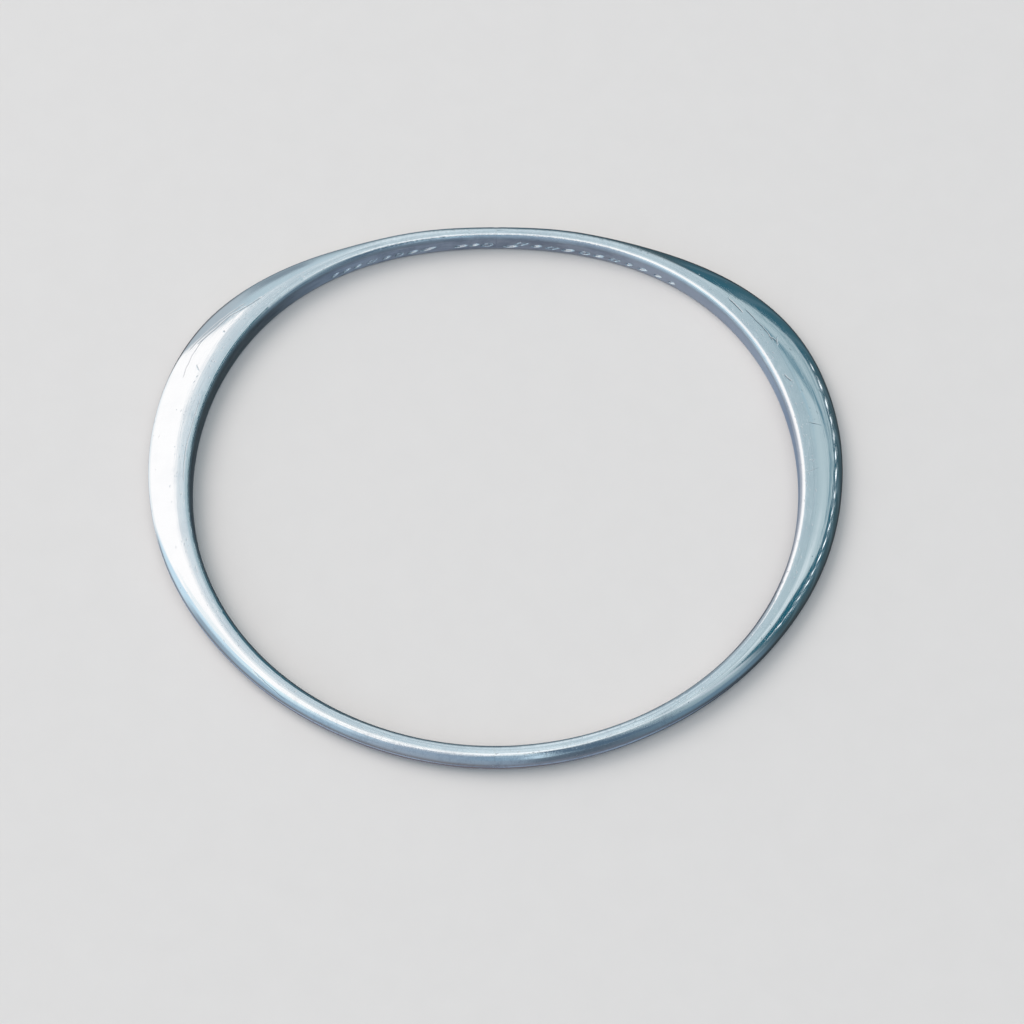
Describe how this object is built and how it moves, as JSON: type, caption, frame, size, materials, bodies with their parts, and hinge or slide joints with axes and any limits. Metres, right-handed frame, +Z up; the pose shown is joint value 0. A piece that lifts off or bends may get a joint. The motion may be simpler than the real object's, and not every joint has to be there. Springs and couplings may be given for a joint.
{
  "type": "bangle bracelet",
  "caption": "Closed oval bangle in polished silver, thin at front and back and swelling into a broad domed crescent on each side.",
  "frame": {"origin": "under the middle of the outline, on the surface that the bangle lies on", "axes": "+X across the bangle from crescent to crescent (its longer way), +Y to the thinnest part of the ring at the back, +Z up out of the table, through the wrist opening"},
  "size_m": [0.0734, 0.0622, 0.0028],
  "materials": {
    "polished_silver": "polished, with fine hairline scratches from wear",
    "silver_solder": "polished flush, slightly greyer than the bar"
  },
  "bodies": {
    "root": {"left_half": "polished_silver", "right_half": "polished_silver", "front_solder_seam": "silver_solder", "back_solder_seam": "silver_solder"}
  },
  "joints": []
}
